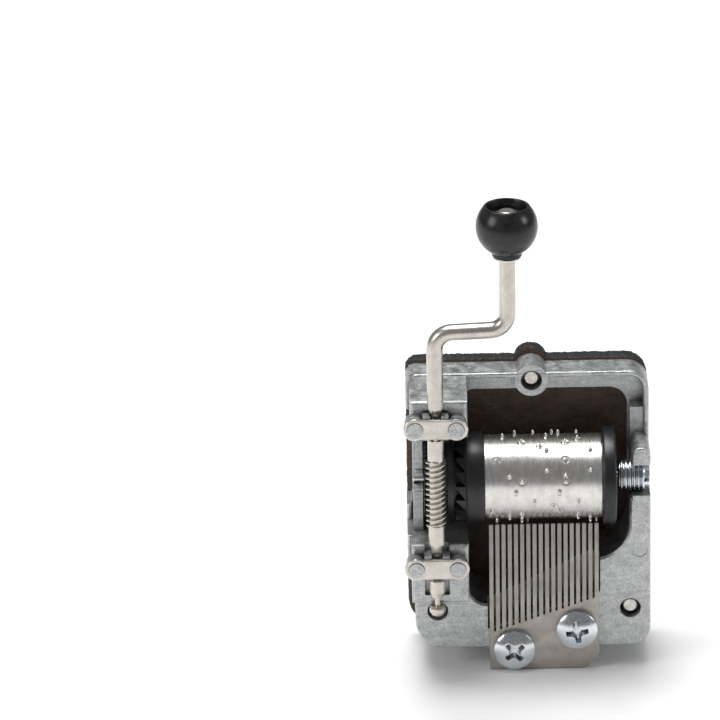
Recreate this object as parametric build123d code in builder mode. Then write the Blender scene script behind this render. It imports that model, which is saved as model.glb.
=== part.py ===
from build123d import *
import math
import os

# A hand crank music movement: a zinc frame on a hardboard soundboard, a pinned drum turned by a worm on
# the crank, and an 18-tooth comb.  Millimetres, +Z up, +X to the right of someone facing the drum.
# The movement stands on the foot of its comb tongue; the origin is the middle of that foot in depth, on
# the centre line of the screw pattern.  "Depth" is the distance forward of the frame's back face.

# ---------------------------------------------------------------- driving dimensions
# Frame casting
frame_left = -20.8            # upper left edge
frame_left_low = -19.7        # left edge below the lower bracket
frame_right = 19.35
frame_top = 50.1
frame_bottom = 3.6
flange_depth = 1.8            # the flange that lies on the board
rim_depth = 5.3               # front of the upper rim
rim_width = 0.9               # width of the rim's front edge
plate_depth = 12.0            # front of the lower plate, which is the comb's seat
wall_thickness = 1.8          # walls and web of the hollow lower plate
corner_radii = {"top_left": 2.0, "top_right": 3.4, "bottom_right": 3.5, "bottom_left": 5.0}

# Window in the casting
window_left = -10.8
window_right_margin = 3.45    # from the window to the casting's right edge
window_top_margin = 4.1       # from the window to the casting's top edge
window_low_left = 11.4        # height of its lower edge at the left
window_low_right = 19.4       # height of its lower edge at the right

# Screw pattern that fixes the board
hole_half_spacing = 16.0
lower_hole_height = 10.4
top_hole_drop = 1.4           # the top hole lies this much below the casting's top edge
top_boss_radius = 2.75
hole_radius = 1.75            # the wide front of each hole
board_screw_radius = 1.22
board_screw_recess = 1.1      # how far the screw's end lies below the front face

# Soundboard
board_thickness = 2.7
board_margin_top = 0.7
board_drop = 1.2              # how far the board hangs below the frame's bottom edge
board_lobe_rise = 1.3         # the board's lobe stands this much above the frame's boss
board_screw_head_radius = 2.5

# Comb
comb_left = -7.4
comb_right = 10.7
comb_bottom = 0.15
comb_thickness = 1.1
tooth_count = 18
tooth_gap = 0.35
tip_thickness = 0.4
tip_bevel_length = 4.0
root_left = 6.7               # height of the slots' roots, left to right
root_right = 13.1
comb_corner_cut = 2.1
comb_screws = [(-3.35, 3.9), (7.05, 7.3)]
comb_screw_radius = 1.5
comb_hole_clearance = 0.2
screw_head_radius = 3.4
screw_head_height = 2.1
weight_count = 6
weight_height = 3.6
weight_largest = 2.4          # depth of the bass weight behind the tooth

# Drum
drum_height = 33.3
drum_clearance = 1.15         # between the right cap's rim and the board
sleeve_left = -8.2
sleeve_right = 11.4
sleeve_radius = 7.0
sleeve_wall = 0.45
pin_radius = 0.27
pin_height = 0.722            # how far the pins stand up from the sleeve
pin_clearance = 0.06          # between the pins' circle and the comb's tips
cap_rim = 0.6                 # how far the left cap stands out past the sleeve
cap_left = -11.2
ratchet_left = -12.8
ratchet_rim = 0.7             # the saw-teeth's crown is this much smaller than the cap
ratchet_teeth = 18
ratchet_width = 1.5            # how far the saw-teeth reach in towards the axis
flange_rim = 1.15             # how far the right cap stands out past the sleeve
flange_right = 13.6
plug_length = 3.0
arbor_radius = 0.6
arbor_margin = 1.0            # from the casting's left edge to the arbor's end
running_clearance = 0.05

# Worm drive
wheel_teeth = 42
wheel_overhang = 1.93         # the wheel reaches this far left of the shaft's axis
wheel_width = 4.8
wheel_pitch_radius = 6.25
worm_pitch_radius = 1.45
worm_starts = 2
tooth_rise = 0.25             # height of a tooth above its pitch circle
tooth_fall = 0.36             # depth of a tooth below its pitch circle
tooth_share = 0.36            # share of the pitch that a tooth takes on its pitch circle
worm_below = 5.1              # how far the worm reaches below and above the drum's axis
worm_above = 6.5

# Crank
shaft_margin = 4.73           # from the casting's left edge to the shaft's axis
shaft_radius = 1.35
neck_radius = 0.85
neck_margin = 0.25            # a neck is this much longer than its bracket, at each end
taper_length = 1.7
straight_rise = 3.9           # the rod is turned up to this much above the casting
tip_bottom = 12.1
groove_bottom = 13.7
groove_top = 15.4
groove_radius = 0.45
arm_above_frame = 12.0
arm_rise = 0.5                # the arm climbs this much from the shaft to the handle
throw = 11.9
bend_radius = 2.9
spindle_radius = 1.1
rivet_radius = 1.7
rivet_drop = 0.8              # the riveted end lies this much below the knob's rim
rivet_clearance = 0.2

# Knob
knob_radius = 5.05
knob_above_arm = 13.3         # from the arm to the foot of the knob
knob_centre_rise = 5.1        # from the knob's foot to the ball's centre
knob_cut_rise = 3.5           # from the ball's centre to its flat rim
knob_neck_radius = 2.45
cup_radius = 3.3
cup_depth = 1.9
washer_radius = 2.3
washer_thickness = 0.35

# Brackets
upper_bracket_drop = 4.2      # the upper bracket lies this much below the casting's top edge
lower_bracket_height = 21.0
bracket_thickness = 0.8
bracket_lobe_radius = 1.92
bracket_waist = 3.4
post_spacing = 6.8
post_radius = 1.3
post_proud = 0.3
bracket_gap = 0.12            # between a bracket's back and the shaft

# Bearing screw
bearing_radius = 2.7
bearing_root = 2.35
thread_pitch = 0.7
bearing_gap = 0.35            # between the right cap and the screw's end
bearing_margin = 0.15         # the screw ends this much inside the casting's right edge
bearing_hole_depth = 2.0

# ---------------------------------------------------------------- worked-out sizes
foot_middle = plate_depth / 2
window_right = frame_right - window_right_margin
window_top = frame_top - window_top_margin
top_hole_height = frame_top - top_hole_drop
shaft_x = frame_left + shaft_margin
arbor_left = frame_left + arbor_margin
cap_radius = sleeve_radius + cap_rim
ratchet_radius = cap_radius - ratchet_rim
flange_radius = sleeve_radius + flange_rim
drum_depth = flange_radius + drum_clearance
wheel_left = shaft_x - wheel_overhang
wheel_right = wheel_left + wheel_width
worm_bottom = drum_height - worm_below
worm_top = drum_height + worm_above
centre_distance = wheel_pitch_radius + worm_pitch_radius
shaft_depth = drum_depth + centre_distance
bracket_depth = shaft_depth + shaft_radius + bracket_gap
tower_depth = shaft_depth - 0.5
circular_pitch = 2 * math.pi * wheel_pitch_radius / wheel_teeth
lead = worm_starts * circular_pitch
comb_front = plate_depth + comb_thickness
pin_circle = sleeve_radius + pin_height
tip_ahead = comb_front - tip_thickness - drum_depth
comb_tip = drum_height - math.sqrt((pin_circle + pin_clearance) ** 2 - tip_ahead**2)
tooth_pitch = (comb_right - comb_left + tooth_gap) / tooth_count
handle_x = shaft_x + throw
shaft_y = foot_middle - shaft_depth
drum_y = foot_middle - drum_depth
board_bottom = frame_bottom - board_drop
bracket_heights = {
    "upper_bracket": frame_top - upper_bracket_drop,
    "lower_bracket": lower_bracket_height,
}
bearing_left = flange_right + bearing_gap
bearing_right = frame_right - bearing_margin
straight_top = frame_top + straight_rise
arm_height = frame_top + arm_above_frame
knob_foot = arm_height + knob_above_arm
knob_centre = knob_foot + knob_centre_rise
knob_cut = knob_centre + knob_cut_rise
cup_floor = knob_cut - cup_depth
handle_top = knob_cut - rivet_drop
rivet_height = cup_depth - rivet_drop - rivet_clearance
washer_bottom = knob_foot - washer_thickness - running_clearance


def face_plane(depth):
    """The upright plane at a depth forward of the frame's back, whose normal points to the front."""
    return Plane.XZ.offset(depth - foot_middle)


def drum_plane(x):
    """The plane across the drum's axis at x, with its origin on the axis."""
    return Plane(origin=(x, drum_y, drum_height), x_dir=(0, 1, 0), z_dir=(1, 0, 0))


def shaft_plane(height):
    """The level plane across the crank shaft at a height."""
    return Plane(origin=(shaft_x, shaft_y, height))


def handle_plane(height):
    """The level plane across the handle at a height."""
    return Plane(origin=(handle_x, shaft_y, height))


def finish(part, label):
    """Names a finished piece and writes its file."""
    part.label = label
    export_step(part, f"parts/{label}.step")


os.makedirs("parts", exist_ok=True)

# ---------------------------------------------------------------- frame
# Zinc die casting.  A thin flange lies on the board and carries a raised rim; the lower part is a
# deep hollow plate that runs down into the comb's tongue.
flange_outline = [
    (frame_left, frame_top),
    (frame_right, frame_top),
    (frame_right, frame_bottom),
    (frame_left_low, frame_bottom),
    (frame_left_low, 19.0),
    (frame_left, 20.2),
]
flange_corners = [
    corner_radii["top_left"],
    corner_radii["top_right"],
    corner_radii["bottom_right"],
    corner_radii["bottom_left"],
    0.8,
    0.8,
]
window_outline = [
    (window_left, window_top),
    (window_right, window_top),
    (window_right, window_low_right),
    (comb_right - 1.5, window_low_right),
    (comb_left + 0.6, window_low_left),
    (window_left, window_low_left),
]
window_corners = [1.2, 3.0, 6.0, 2.0, 1.0, 3.3]
plate_top_left = 24.2         # the deep plate ends here at the left, and at the right below the screw
plate_top_right = 30.0
tongue_gap = 0.15             # the tongue shows past the comb by this much
seat_relief_depth = 3.5       # the seat is cut back behind the teeth
tower_left = shaft_x - post_spacing / 2 - 0.75
tower_right = window_left
pocket_half = shaft_radius + 0.7  # half width of the shaft's channel in the towers
pocket_top = frame_top - 1.7
end_play = 0.1
pinch_radius = 0.62           # lumps of metal pinched over the arbor's notch
pinch_offset = 0.75
pinch_setback = 0.25
mark_radius = 1.3             # round mark of an ejector pin beside the window
mark_depth = 0.12
mark_drop = 9.1               # below the top of the deep plate
hole_counterbore = 4.0        # depth of the wide fronts of the two lower holes
top_hole_floor = 2.0          # how far the top hole's wide front stops from the casting's back
hollow_round = 0.8
bracket_height = 2 * bracket_lobe_radius
neck_length = bracket_height + 2 * neck_margin
seat_height = neck_length - 2 * end_play
lower_tower_top = bracket_heights["lower_bracket"] + 3.3
upper_tower_bottom = bracket_heights["upper_bracket"] - 2.6
tower_setback = 0.3           # from the casting's top edge to the upper tower's top
towers = [
    (groove_bottom + end_play, lower_tower_top),
    (upper_tower_bottom, frame_top - tower_setback),
]
tower_round = 0.6
boss_margin = 0.2             # the bosses under the brackets are this much smaller than their lobes
boss_sink = 0.7               # how far the bosses are sunk in the towers
channel_clearance = 0.25      # behind the shaft, in its channel
seat_fit = 0.05               # how far the necks' seats are let into the channel's sides and floor
hole_fit = 0.02               # between a screw and the casting
post_places = [
    (shaft_x + side * post_spacing / 2, height)
    for side in (-1, 1)
    for height in bracket_heights.values()
]
left_wall_inner = wheel_left - 0.2
left_wall_depth = drum_depth + 0.9
pit_half = max(cap_radius, wheel_pitch_radius + tooth_rise) + 0.4
pit_floor = drum_depth - pit_half
board_edge_low = 27.0         # the flange is cut away between these, where the board's edge shows
board_edge_high = 44.0
wall_ends = 2.5               # the left wall runs past the pit by this much, above and below
right_wall_left = window_right + 0.35
right_wall_middle = (right_wall_left + frame_right) / 2
lump_radius = (frame_right - right_wall_left) / 2
lump_top = drum_height + bearing_radius + 3.1
lump_middle = lump_top - lump_radius
shoulder_rise = 2.8           # the step above the lump, between it and the rim
shoulder_depth = rim_depth - 0.6
middle_x = (frame_left + frame_right) / 2
tall = 60.0                   # longer than any side, for cuts that run right off the casting
cast_round = 0.35             # rounding of the casting's front edges
tongue_outline = [
    (comb_left, window_low_left + 1.0),
    (comb_right + tongue_gap, window_low_right),
    (comb_right + tongue_gap, comb_corner_cut),
    (comb_right + tongue_gap - comb_corner_cut, 0),
    (comb_left, 0),
]
relief_outline = [
    (comb_left - 0.3, root_left + 0.4),
    (comb_right + 0.3, root_right + 0.4),
    (comb_right + 0.3, window_low_right + 2),
    (comb_left - 0.3, window_low_right + 2),
]
# Hollows in the back of the lower plate, as (x, height, width, height of the hollow)
hollows = [
    (-12.0, 9.0, 3.4, 6.4),
    (12.6, 13.2, 2.6, 9.0),
    (1.8, 6.6, 4.6, 3.0),
]


def front_face_edges(part, depth):
    """The edges that bound a part's flat front at a depth."""
    fronts = part.faces().filter_by(Axis.Y).filter_by_position(
        Axis.Y, foot_middle - depth - 0.01, foot_middle - depth + 0.01
    )
    return [edge for face in fronts for edge in face.outer_wire().edges()]


with BuildPart() as frame:
    # Flange on the board, and the rim along its outline
    with BuildSketch(face_plane(0)):
        with BuildLine():
            FilletPolyline(*flange_outline, radius=flange_corners, close=True)
        make_face()
    extrude(amount=flange_depth)
    with BuildSketch(face_plane(flange_depth)):
        with BuildLine():
            FilletPolyline(*flange_outline, radius=flange_corners, close=True)
        make_face()
        offset(amount=-rim_width, mode=Mode.SUBTRACT)
    extrude(amount=rim_depth - flange_depth)
    fillet(frame.faces().sort_by(Axis.Y)[0].edges(), cast_round)
    # Deep lower plate, higher at the right
    with BuildSketch(face_plane(0)):
        with BuildLine():
            FilletPolyline(*flange_outline, radius=flange_corners, close=True)
        make_face()
        with Locations((middle_x, plate_top_right + tall / 2)):
            Rectangle(tall, tall, mode=Mode.SUBTRACT)
        with Locations((middle_x - tall / 2, plate_top_left + tall / 2)):
            Rectangle(tall, tall, mode=Mode.SUBTRACT)
    extrude(amount=plate_depth)
    # Tongue under the comb
    with BuildSketch(face_plane(0)):
        with BuildLine():
            Polyline(*tongue_outline, close=True)
        make_face()
    extrude(amount=plate_depth)
    # Right wall, with a lump above the bearing screw and a step down to the rim
    with BuildSketch(face_plane(0)):
        with Locations((right_wall_middle, (plate_top_right + lump_middle) / 2)):
            Rectangle(2 * lump_radius, lump_middle - plate_top_right)
        with Locations((right_wall_middle, lump_middle)):
            Circle(lump_radius)
    extrude(amount=plate_depth)
    with BuildSketch(face_plane(0)):
        with Locations((right_wall_middle, lump_top + shoulder_rise / 2)):
            Rectangle(2 * lump_radius, 2 * lump_radius + shoulder_rise)
    extrude(amount=shoulder_depth)
    # Left wall beside the wheel
    with BuildSketch(face_plane(0)):
        with Locations(((arbor_left + left_wall_inner) / 2, drum_height)):
            Rectangle(left_wall_inner - arbor_left, 2 * (pit_half + wall_ends))
    extrude(amount=left_wall_depth)
    fillet(front_face_edges(frame.part, plate_depth), cast_round)
    # Window
    with BuildSketch(face_plane(-1)):
        with BuildLine():
            FilletPolyline(*window_outline, radius=window_corners, close=True)
        make_face()
    extrude(amount=plate_depth + 2, mode=Mode.SUBTRACT)
    # The window's front edge is broken where it leaves the deep plate
    with BuildSketch(face_plane(plate_depth - cast_round)):
        with BuildLine():
            FilletPolyline(*window_outline, radius=window_corners, close=True)
        make_face()
    extrude(amount=1.5 * cast_round, taper=-45, mode=Mode.SUBTRACT)
    # The flange is cut away beside the wheel
    with BuildSketch(face_plane(-1)):
        with Locations((frame_left, (board_edge_low + board_edge_high) / 2)):
            RectangleRounded(2 * (arbor_left - frame_left), board_edge_high - board_edge_low, 0.9)
    extrude(amount=plate_depth, mode=Mode.SUBTRACT)
    # Top boss
    with BuildSketch(face_plane(0)):
        with Locations((0, top_hole_height)):
            Circle(top_boss_radius)
    extrude(amount=rim_depth - 0.1)
    # Towers of the shaft, and the bosses that the brackets lie on
    with BuildSketch(face_plane(0)):
        for low, high in towers:
            with Locations(((tower_left + tower_right) / 2, (low + high) / 2)):
                Rectangle(tower_right - tower_left, high - low)
    extrude(amount=tower_depth)
    fillet(front_face_edges(frame.part, tower_depth), tower_round)
    with BuildSketch(face_plane(tower_depth - boss_sink)):
        with Locations(*post_places):
            Circle(bracket_lobe_radius - boss_margin)
    extrude(amount=bracket_depth - tower_depth + boss_sink)
    # Pit for the wheel
    with BuildSketch(face_plane(pit_floor)):
        with Locations(((left_wall_inner + tower_right) / 2, drum_height)):
            Rectangle(tower_right - left_wall_inner + 0.02, 2 * pit_half)
    extrude(amount=tower_depth, mode=Mode.SUBTRACT)
    # Channel of the shaft, wide in the towers, close where the rod leaves at the top
    with BuildSketch(shaft_plane(groove_top - end_play)):
        with Locations((0, (shaft_radius + channel_clearance - tall) / 2)):
            Rectangle(2 * pocket_half, shaft_radius + channel_clearance + tall)
    extrude(amount=pocket_top - groove_top, mode=Mode.SUBTRACT)
    with BuildSketch(shaft_plane(pocket_top - 1)):
        with Locations((0, -tall / 2)):
            Rectangle(2 * (shaft_radius + end_play), tall)
        Circle(shaft_radius + end_play)
    extrude(amount=tall, mode=Mode.SUBTRACT)
    with BuildSketch(shaft_plane(groove_bottom - 1)):
        with Locations((0, -tall / 2)):
            Rectangle(2 * (groove_radius + running_clearance), tall)
        Circle(groove_radius + running_clearance)
    extrude(amount=groove_top - groove_bottom + 2, mode=Mode.SUBTRACT)
    # Close seats for the necks, under the brackets
    seat_back = shaft_radius + channel_clearance + seat_fit
    for height in bracket_heights.values():
        with BuildSketch(shaft_plane(height - seat_height / 2)):
            with Locations((0, (seat_back + shaft_depth - bracket_depth) / 2)):
                Rectangle(2 * (pocket_half + seat_fit), seat_back + bracket_depth - shaft_depth)
            with Locations((0, -tall / 2)):
                Rectangle(2 * (neck_radius + running_clearance), tall, mode=Mode.SUBTRACT)
            Circle(neck_radius + running_clearance, mode=Mode.SUBTRACT)
        extrude(amount=seat_height)
    # Posts that are riveted over the brackets
    with BuildSketch(face_plane(bracket_depth)):
        with Locations(*post_places):
            Circle(post_radius)
    extrude(amount=bracket_thickness + post_proud)
    # Notch of the arbor, open to the front
    with BuildSketch(drum_plane(arbor_left - 1)):
        with Locations((-tall / 2, 0)):
            Rectangle(tall, 2 * (arbor_radius + running_clearance))
        Circle(arbor_radius + running_clearance)
    extrude(amount=left_wall_inner - arbor_left + 1.1, mode=Mode.SUBTRACT)
    # Metal pinched over the notch, above and below the arbor
    for side in (-1, 1):
        with BuildSketch(drum_plane(arbor_left + pinch_setback)):
            with Locations((-(left_wall_depth - drum_depth), side * (arbor_radius + pinch_offset))):
                Circle(pinch_radius)
        extrude(amount=left_wall_inner - arbor_left - pinch_setback)
    # Seat of the bearing screw, open to the front
    with BuildSketch(drum_plane(right_wall_left - 1)):
        with Locations((-tall / 2, 0)):
            Rectangle(tall, 2 * (bearing_radius + hole_fit))
        Circle(bearing_radius + hole_fit)
    extrude(amount=tall, mode=Mode.SUBTRACT)
    # Seat cut back behind the teeth
    with BuildSketch(face_plane(plate_depth - seat_relief_depth)):
        with BuildLine():
            Polyline(*relief_outline, close=True)
        make_face()
    extrude(amount=seat_relief_depth + 1, mode=Mode.SUBTRACT)
    # Round mark of an ejector pin beside the window
    with BuildSketch(face_plane(plate_depth - mark_depth)):
        with Locations((right_wall_left + mark_radius, plate_top_right - mark_drop)):
            Circle(mark_radius)
    extrude(amount=1, mode=Mode.SUBTRACT)
    # Hollows in the back, and the holes
    with BuildSketch(face_plane(0)):
        for x, height, width, length in hollows:
            with Locations((x, height)):
                RectangleRounded(width, length, hollow_round)
    extrude(amount=plate_depth - wall_thickness, mode=Mode.SUBTRACT)
    with BuildSketch(face_plane(-1)):
        with Locations((-hole_half_spacing, lower_hole_height), (hole_half_spacing, lower_hole_height)):
            Circle(board_screw_radius + hole_fit)
        with Locations((0, top_hole_height)):
            Circle(board_screw_radius + hole_fit)
        with Locations(*comb_screws):
            Circle(comb_screw_radius + hole_fit)
    extrude(amount=plate_depth + 2, mode=Mode.SUBTRACT)
    with BuildSketch(face_plane(plate_depth - hole_counterbore)):
        with Locations((-hole_half_spacing, lower_hole_height), (hole_half_spacing, lower_hole_height)):
            Circle(hole_radius)
    extrude(amount=hole_counterbore + 1, mode=Mode.SUBTRACT)
    with BuildSketch(face_plane(top_hole_floor)):
        with Locations((0, top_hole_height)):
            Circle(hole_radius)
    extrude(amount=rim_depth, mode=Mode.SUBTRACT)

finish(frame.part, "frame")

# ---------------------------------------------------------------- soundboard
# Hardboard plate behind the frame, a little larger at the top, with a lobe behind the top boss.
board_outline = [
    (frame_left, frame_top + board_margin_top),
    (frame_right, frame_top + board_margin_top),
    (frame_right, board_bottom),
    (frame_left, board_bottom),
]
board_corners = [2.0, 3.6, 3.5, 5.0]
lobe_height = top_hole_height + board_lobe_rise
hole_places = {
    "board_screw_top": (0, top_hole_height),
    "board_screw_left": (-hole_half_spacing, lower_hole_height),
    "board_screw_right": (hole_half_spacing, lower_hole_height),
}

with BuildPart() as soundboard:
    with BuildSketch(face_plane(-board_thickness)):
        with BuildLine():
            FilletPolyline(*board_outline, radius=board_corners, close=True)
        make_face()
        with Locations((0, lobe_height)):
            Circle(top_boss_radius)
    extrude(amount=board_thickness)
    with BuildSketch(face_plane(-board_thickness)):
        with Locations(*hole_places.values()):
            Circle(board_screw_radius + running_clearance)
    extrude(amount=board_thickness, mode=Mode.SUBTRACT)
    # Countersinks in the back for the screws' flat heads
    for x, height in hole_places.values():
        with BuildSketch(Plane(origin=(x, 0, height), x_dir=(1, 0, 0), z_dir=(0, 0, 1))):
            with BuildLine():
                Polyline(
                    (0, foot_middle + board_thickness + 0.01),
                    (board_screw_head_radius + 0.07, foot_middle + board_thickness + 0.01),
                    (0, foot_middle + board_thickness - board_screw_head_radius - 0.06),
                    close=True,
                )
            make_face()
        revolve(axis=Axis((x, 0, height), (0, 1, 0)), mode=Mode.SUBTRACT)

finish(soundboard.part, "soundboard")

# Countersunk screws from the back of the board.  The cone of each head ends flush with the board.
hole_fronts = {
    "board_screw_top": rim_depth - 0.1,
    "board_screw_left": plate_depth,
    "board_screw_right": plate_depth,
}
back_y = foot_middle + board_thickness
board_recess_span = 2.6
board_recess_width = 0.6
board_recess_depth = 0.9
point_chamfer = 0.2
for label, (x, height) in hole_places.items():
    end_y = foot_middle - hole_fronts[label] + board_screw_recess
    with BuildPart() as board_screw:
        with BuildSketch(Plane(origin=(x, 0, height), x_dir=(1, 0, 0), z_dir=(0, 0, 1))):
            with BuildLine():
                Polyline(
                    (0, back_y),
                    (board_screw_head_radius, back_y),
                    (board_screw_radius, back_y - board_screw_head_radius + board_screw_radius),
                    (board_screw_radius, end_y + point_chamfer),
                    (board_screw_radius - point_chamfer, end_y),
                    (0, end_y),
                    close=True,
                )
            make_face()
        revolve(axis=Axis((x, 0, height), (0, 1, 0)))
        # Cross recess in the head
        with BuildSketch(face_plane(-board_thickness)):
            with Locations((x, height)):
                Rectangle(board_recess_span, board_recess_width)
                Rectangle(board_recess_width, board_recess_span)
        extrude(amount=board_recess_depth, mode=Mode.SUBTRACT)
    finish(board_screw.part, label)

# ---------------------------------------------------------------- comb
# One hardened steel plate, slotted into teeth that get longer towards the bass side at the left.
# The teeth are ground thin behind their tips.
comb_outline = [
    (comb_left, comb_tip),
    (comb_right, comb_tip),
    (comb_right, comb_bottom + comb_corner_cut),
    (comb_right - comb_corner_cut, comb_bottom),
    (comb_left, comb_bottom),
]


def slot_root(x):
    """Height of the slots' slanting root line at x."""
    share = (x - comb_left) / (comb_right - comb_left)
    return root_left + share * (root_right - root_left)


with BuildPart() as comb:
    with BuildSketch(face_plane(plate_depth)):
        with BuildLine():
            Polyline(*comb_outline, close=True)
        make_face()
        for gap in range(1, tooth_count):
            gap_x = comb_left + gap * tooth_pitch - tooth_gap / 2
            root = slot_root(gap_x)
            with Locations((gap_x, (root + comb_tip + 1) / 2)):
                Rectangle(tooth_gap, comb_tip + 1 - root, mode=Mode.SUBTRACT)
        with Locations(*comb_screws):
            Circle(comb_screw_radius + comb_hole_clearance, mode=Mode.SUBTRACT)
    extrude(amount=comb_thickness)
    with BuildSketch(Plane.YZ.offset(comb_left - 1)):
        with BuildLine():
            Polyline(
                (foot_middle - plate_depth, comb_tip - tip_bevel_length),
                (foot_middle - comb_front + tip_thickness, comb_tip),
                (foot_middle - comb_front + tip_thickness, comb_tip + 1),
                (foot_middle - plate_depth + 1, comb_tip + 1),
                (foot_middle - plate_depth + 1, comb_tip - tip_bevel_length),
                close=True,
            )
        make_face()
    extrude(amount=comb_right - comb_left + 2, mode=Mode.SUBTRACT)

finish(comb.part, "comb")

# Lead weights under the longest teeth, which tune them down; each is smaller than the one before.
weight_top = comb_tip - tip_bevel_length
weight_step = 0.11            # share of the largest that each weight loses to the one before
weight_chamfer = 0.3
weight_inset = 0.03           # at each side of the tooth
tooth_width = tooth_pitch - tooth_gap
for number in range(weight_count):
    tooth_x = comb_left + number * tooth_pitch + tooth_width / 2
    depth = weight_largest * (1 - weight_step * number)
    with BuildPart() as weight:
        with BuildSketch(face_plane(plate_depth - depth)):
            with Locations((tooth_x, weight_top - weight_height / 2)):
                Rectangle(tooth_width - 2 * weight_inset, weight_height)
        extrude(amount=depth)
        chamfer(weight.edges().filter_by(Axis.X).group_by(Axis.Y)[-1], weight_chamfer)
    finish(weight.part, f"comb_weight_{number + 1}")

# Pan-head screws with a cross recess.  Each has a domed head on the comb and a shank in the seat.
shank_length = 9.0
recess_span = 3.9
recess_width = 1.05
recess_hub_radius = 1.0
recess_depth = 1.7
for label, (x, height), turn in zip(("comb_screw_left", "comb_screw_right"), comb_screws, (40, 8)):
    head_base = foot_middle - comb_front
    head_top = head_base - screw_head_height
    with BuildPart() as comb_screw:
        with BuildSketch(Plane(origin=(x, 0, height), x_dir=(1, 0, 0), z_dir=(0, 0, 1))):
            with BuildLine():
                rim_start = Polyline(
                    (0, head_top),
                    (0, head_base + shank_length),
                    (comb_screw_radius - 0.3, head_base + shank_length),
                    (comb_screw_radius, head_base + shank_length - 0.3),
                    (comb_screw_radius, head_base),
                    (screw_head_radius, head_base),
                    (screw_head_radius, head_base - 0.45 * screw_head_height),
                )
                TangentArc(rim_start @ 0, rim_start @ 1, tangent=(1, 0))
            make_face()
        revolve(axis=Axis((x, 0, height), (0, 1, 0)))
        # Cross recess
        with BuildSketch(face_plane(comb_front + screw_head_height + 0.1)):
            with Locations(Location((x, height), turn)):
                Rectangle(recess_span, recess_width)
                Rectangle(recess_width, recess_span)
                Circle(recess_hub_radius)
        extrude(amount=-recess_depth, taper=10, mode=Mode.SUBTRACT)
    finish(comb_screw.part, label)

# ---------------------------------------------------------------- drum
# Plated sleeve with raised pins.  The pins end just clear of the comb's tips.
beat_turn = 15.0              # turn of the drum from one beat of the tune to the next
melody = [0, 4, 7, 11, 7, 4, 2, 5, 9, 12, 9, 5, 4, 7, 11, 14, 16, 17, 12, 8, 6, 10, 13, 3]


def pin_places():
    """Angle and tooth of each pin: a rising and falling tune, a lower voice, and a few off-beat notes."""
    places = []
    for beat, tooth in enumerate(melody):
        angle = beat * beat_turn
        places.append((angle, tooth))
        places.append((angle, (tooth + 7) % tooth_count))
        if beat % 3 == 1:
            places.append((angle + beat_turn / 2, (tooth + 3) % tooth_count))
        if beat % 4 == 2:
            places.append((angle + beat_turn / 2, (tooth + 12) % tooth_count))
    return places


with BuildPart() as drum_sleeve:
    with BuildSketch(drum_plane(sleeve_left)):
        Circle(sleeve_radius)
        Circle(sleeve_radius - sleeve_wall, mode=Mode.SUBTRACT)
    extrude(amount=sleeve_right - sleeve_left)
    for angle, tooth in pin_places():
        pin_x = comb_left + tooth * tooth_pitch + tooth_width / 2
        out = Vector(0, math.cos(math.radians(angle)), math.sin(math.radians(angle)))
        foot = Vector(pin_x, drum_y, drum_height) + out * (sleeve_radius - sleeve_wall / 2)
        with BuildSketch(Plane(origin=foot, x_dir=(1, 0, 0), z_dir=out)):
            Circle(pin_radius)
        extrude(amount=pin_circle - sleeve_radius + sleeve_wall / 2)

finish(drum_sleeve.part, "drum_sleeve")

# Left cap: a hub plugged into the sleeve, with a crown of saw-teeth facing the wheel.
arbor_bore = arbor_radius + 0.01
plug_radius = sleeve_radius - sleeve_wall - 0.02
saw_pitch = 2 * ratchet_radius * math.sin(math.pi / ratchet_teeth)
with BuildPart() as left_end_cap:
    with BuildSketch(drum_plane(cap_left)):
        Circle(cap_radius)
    extrude(amount=sleeve_left - cap_left)
    chamfer(left_end_cap.edges().filter_by(GeomType.CIRCLE).sort_by(Axis.X)[0], 0.3)
    with BuildSketch(drum_plane(sleeve_left)):
        Circle(plug_radius)
    extrude(amount=plug_length)
    for tooth in range(ratchet_teeth):
        angle = math.radians(360 / ratchet_teeth * tooth)
        out = Vector(0, math.cos(angle), math.sin(angle))
        middle = Vector(cap_left, drum_y, drum_height) + out * ratchet_radius
        with BuildSketch(Plane(origin=middle, x_dir=(1, 0, 0), z_dir=-out)):
            with BuildLine():
                Polyline(
                    (0.2, -saw_pitch / 2),
                    (0.2, saw_pitch / 2),
                    (0, saw_pitch / 2),
                    (ratchet_left - cap_left, -saw_pitch / 2 + 0.25),
                    (ratchet_left - cap_left, -saw_pitch / 2),
                    close=True,
                )
            make_face()
        extrude(amount=ratchet_width)
    with BuildSketch(drum_plane(ratchet_left - 1)):
        Circle(arbor_bore)
    extrude(amount=sleeve_left + plug_length - ratchet_left + 2, mode=Mode.SUBTRACT)

finish(left_end_cap.part, "left_end_cap")

# Right cap: a wide flange plugged into the sleeve.
with BuildPart() as right_end_cap:
    with BuildSketch(drum_plane(sleeve_right)):
        Circle(flange_radius)
    extrude(amount=flange_right - sleeve_right)
    chamfer(right_end_cap.edges().filter_by(GeomType.CIRCLE), 0.25)
    with BuildSketch(drum_plane(sleeve_right - plug_length)):
        Circle(plug_radius)
    extrude(amount=plug_length)
    with BuildSketch(drum_plane(sleeve_right - plug_length - 1)):
        Circle(arbor_bore)
    extrude(amount=plug_length + flange_right - sleeve_right + 2, mode=Mode.SUBTRACT)

finish(right_end_cap.part, "right_end_cap")

# Steel arbor through the wheel and both caps, turning in the left wall's notch and the bearing screw.
with BuildPart() as drum_arbor:
    with BuildSketch(drum_plane(arbor_left)):
        Circle(arbor_radius)
    extrude(amount=bearing_left + bearing_hole_depth - 0.2 - arbor_left)
    chamfer(drum_arbor.edges().filter_by(GeomType.CIRCLE), 0.12)

finish(drum_arbor.part, "drum_arbor")

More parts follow.
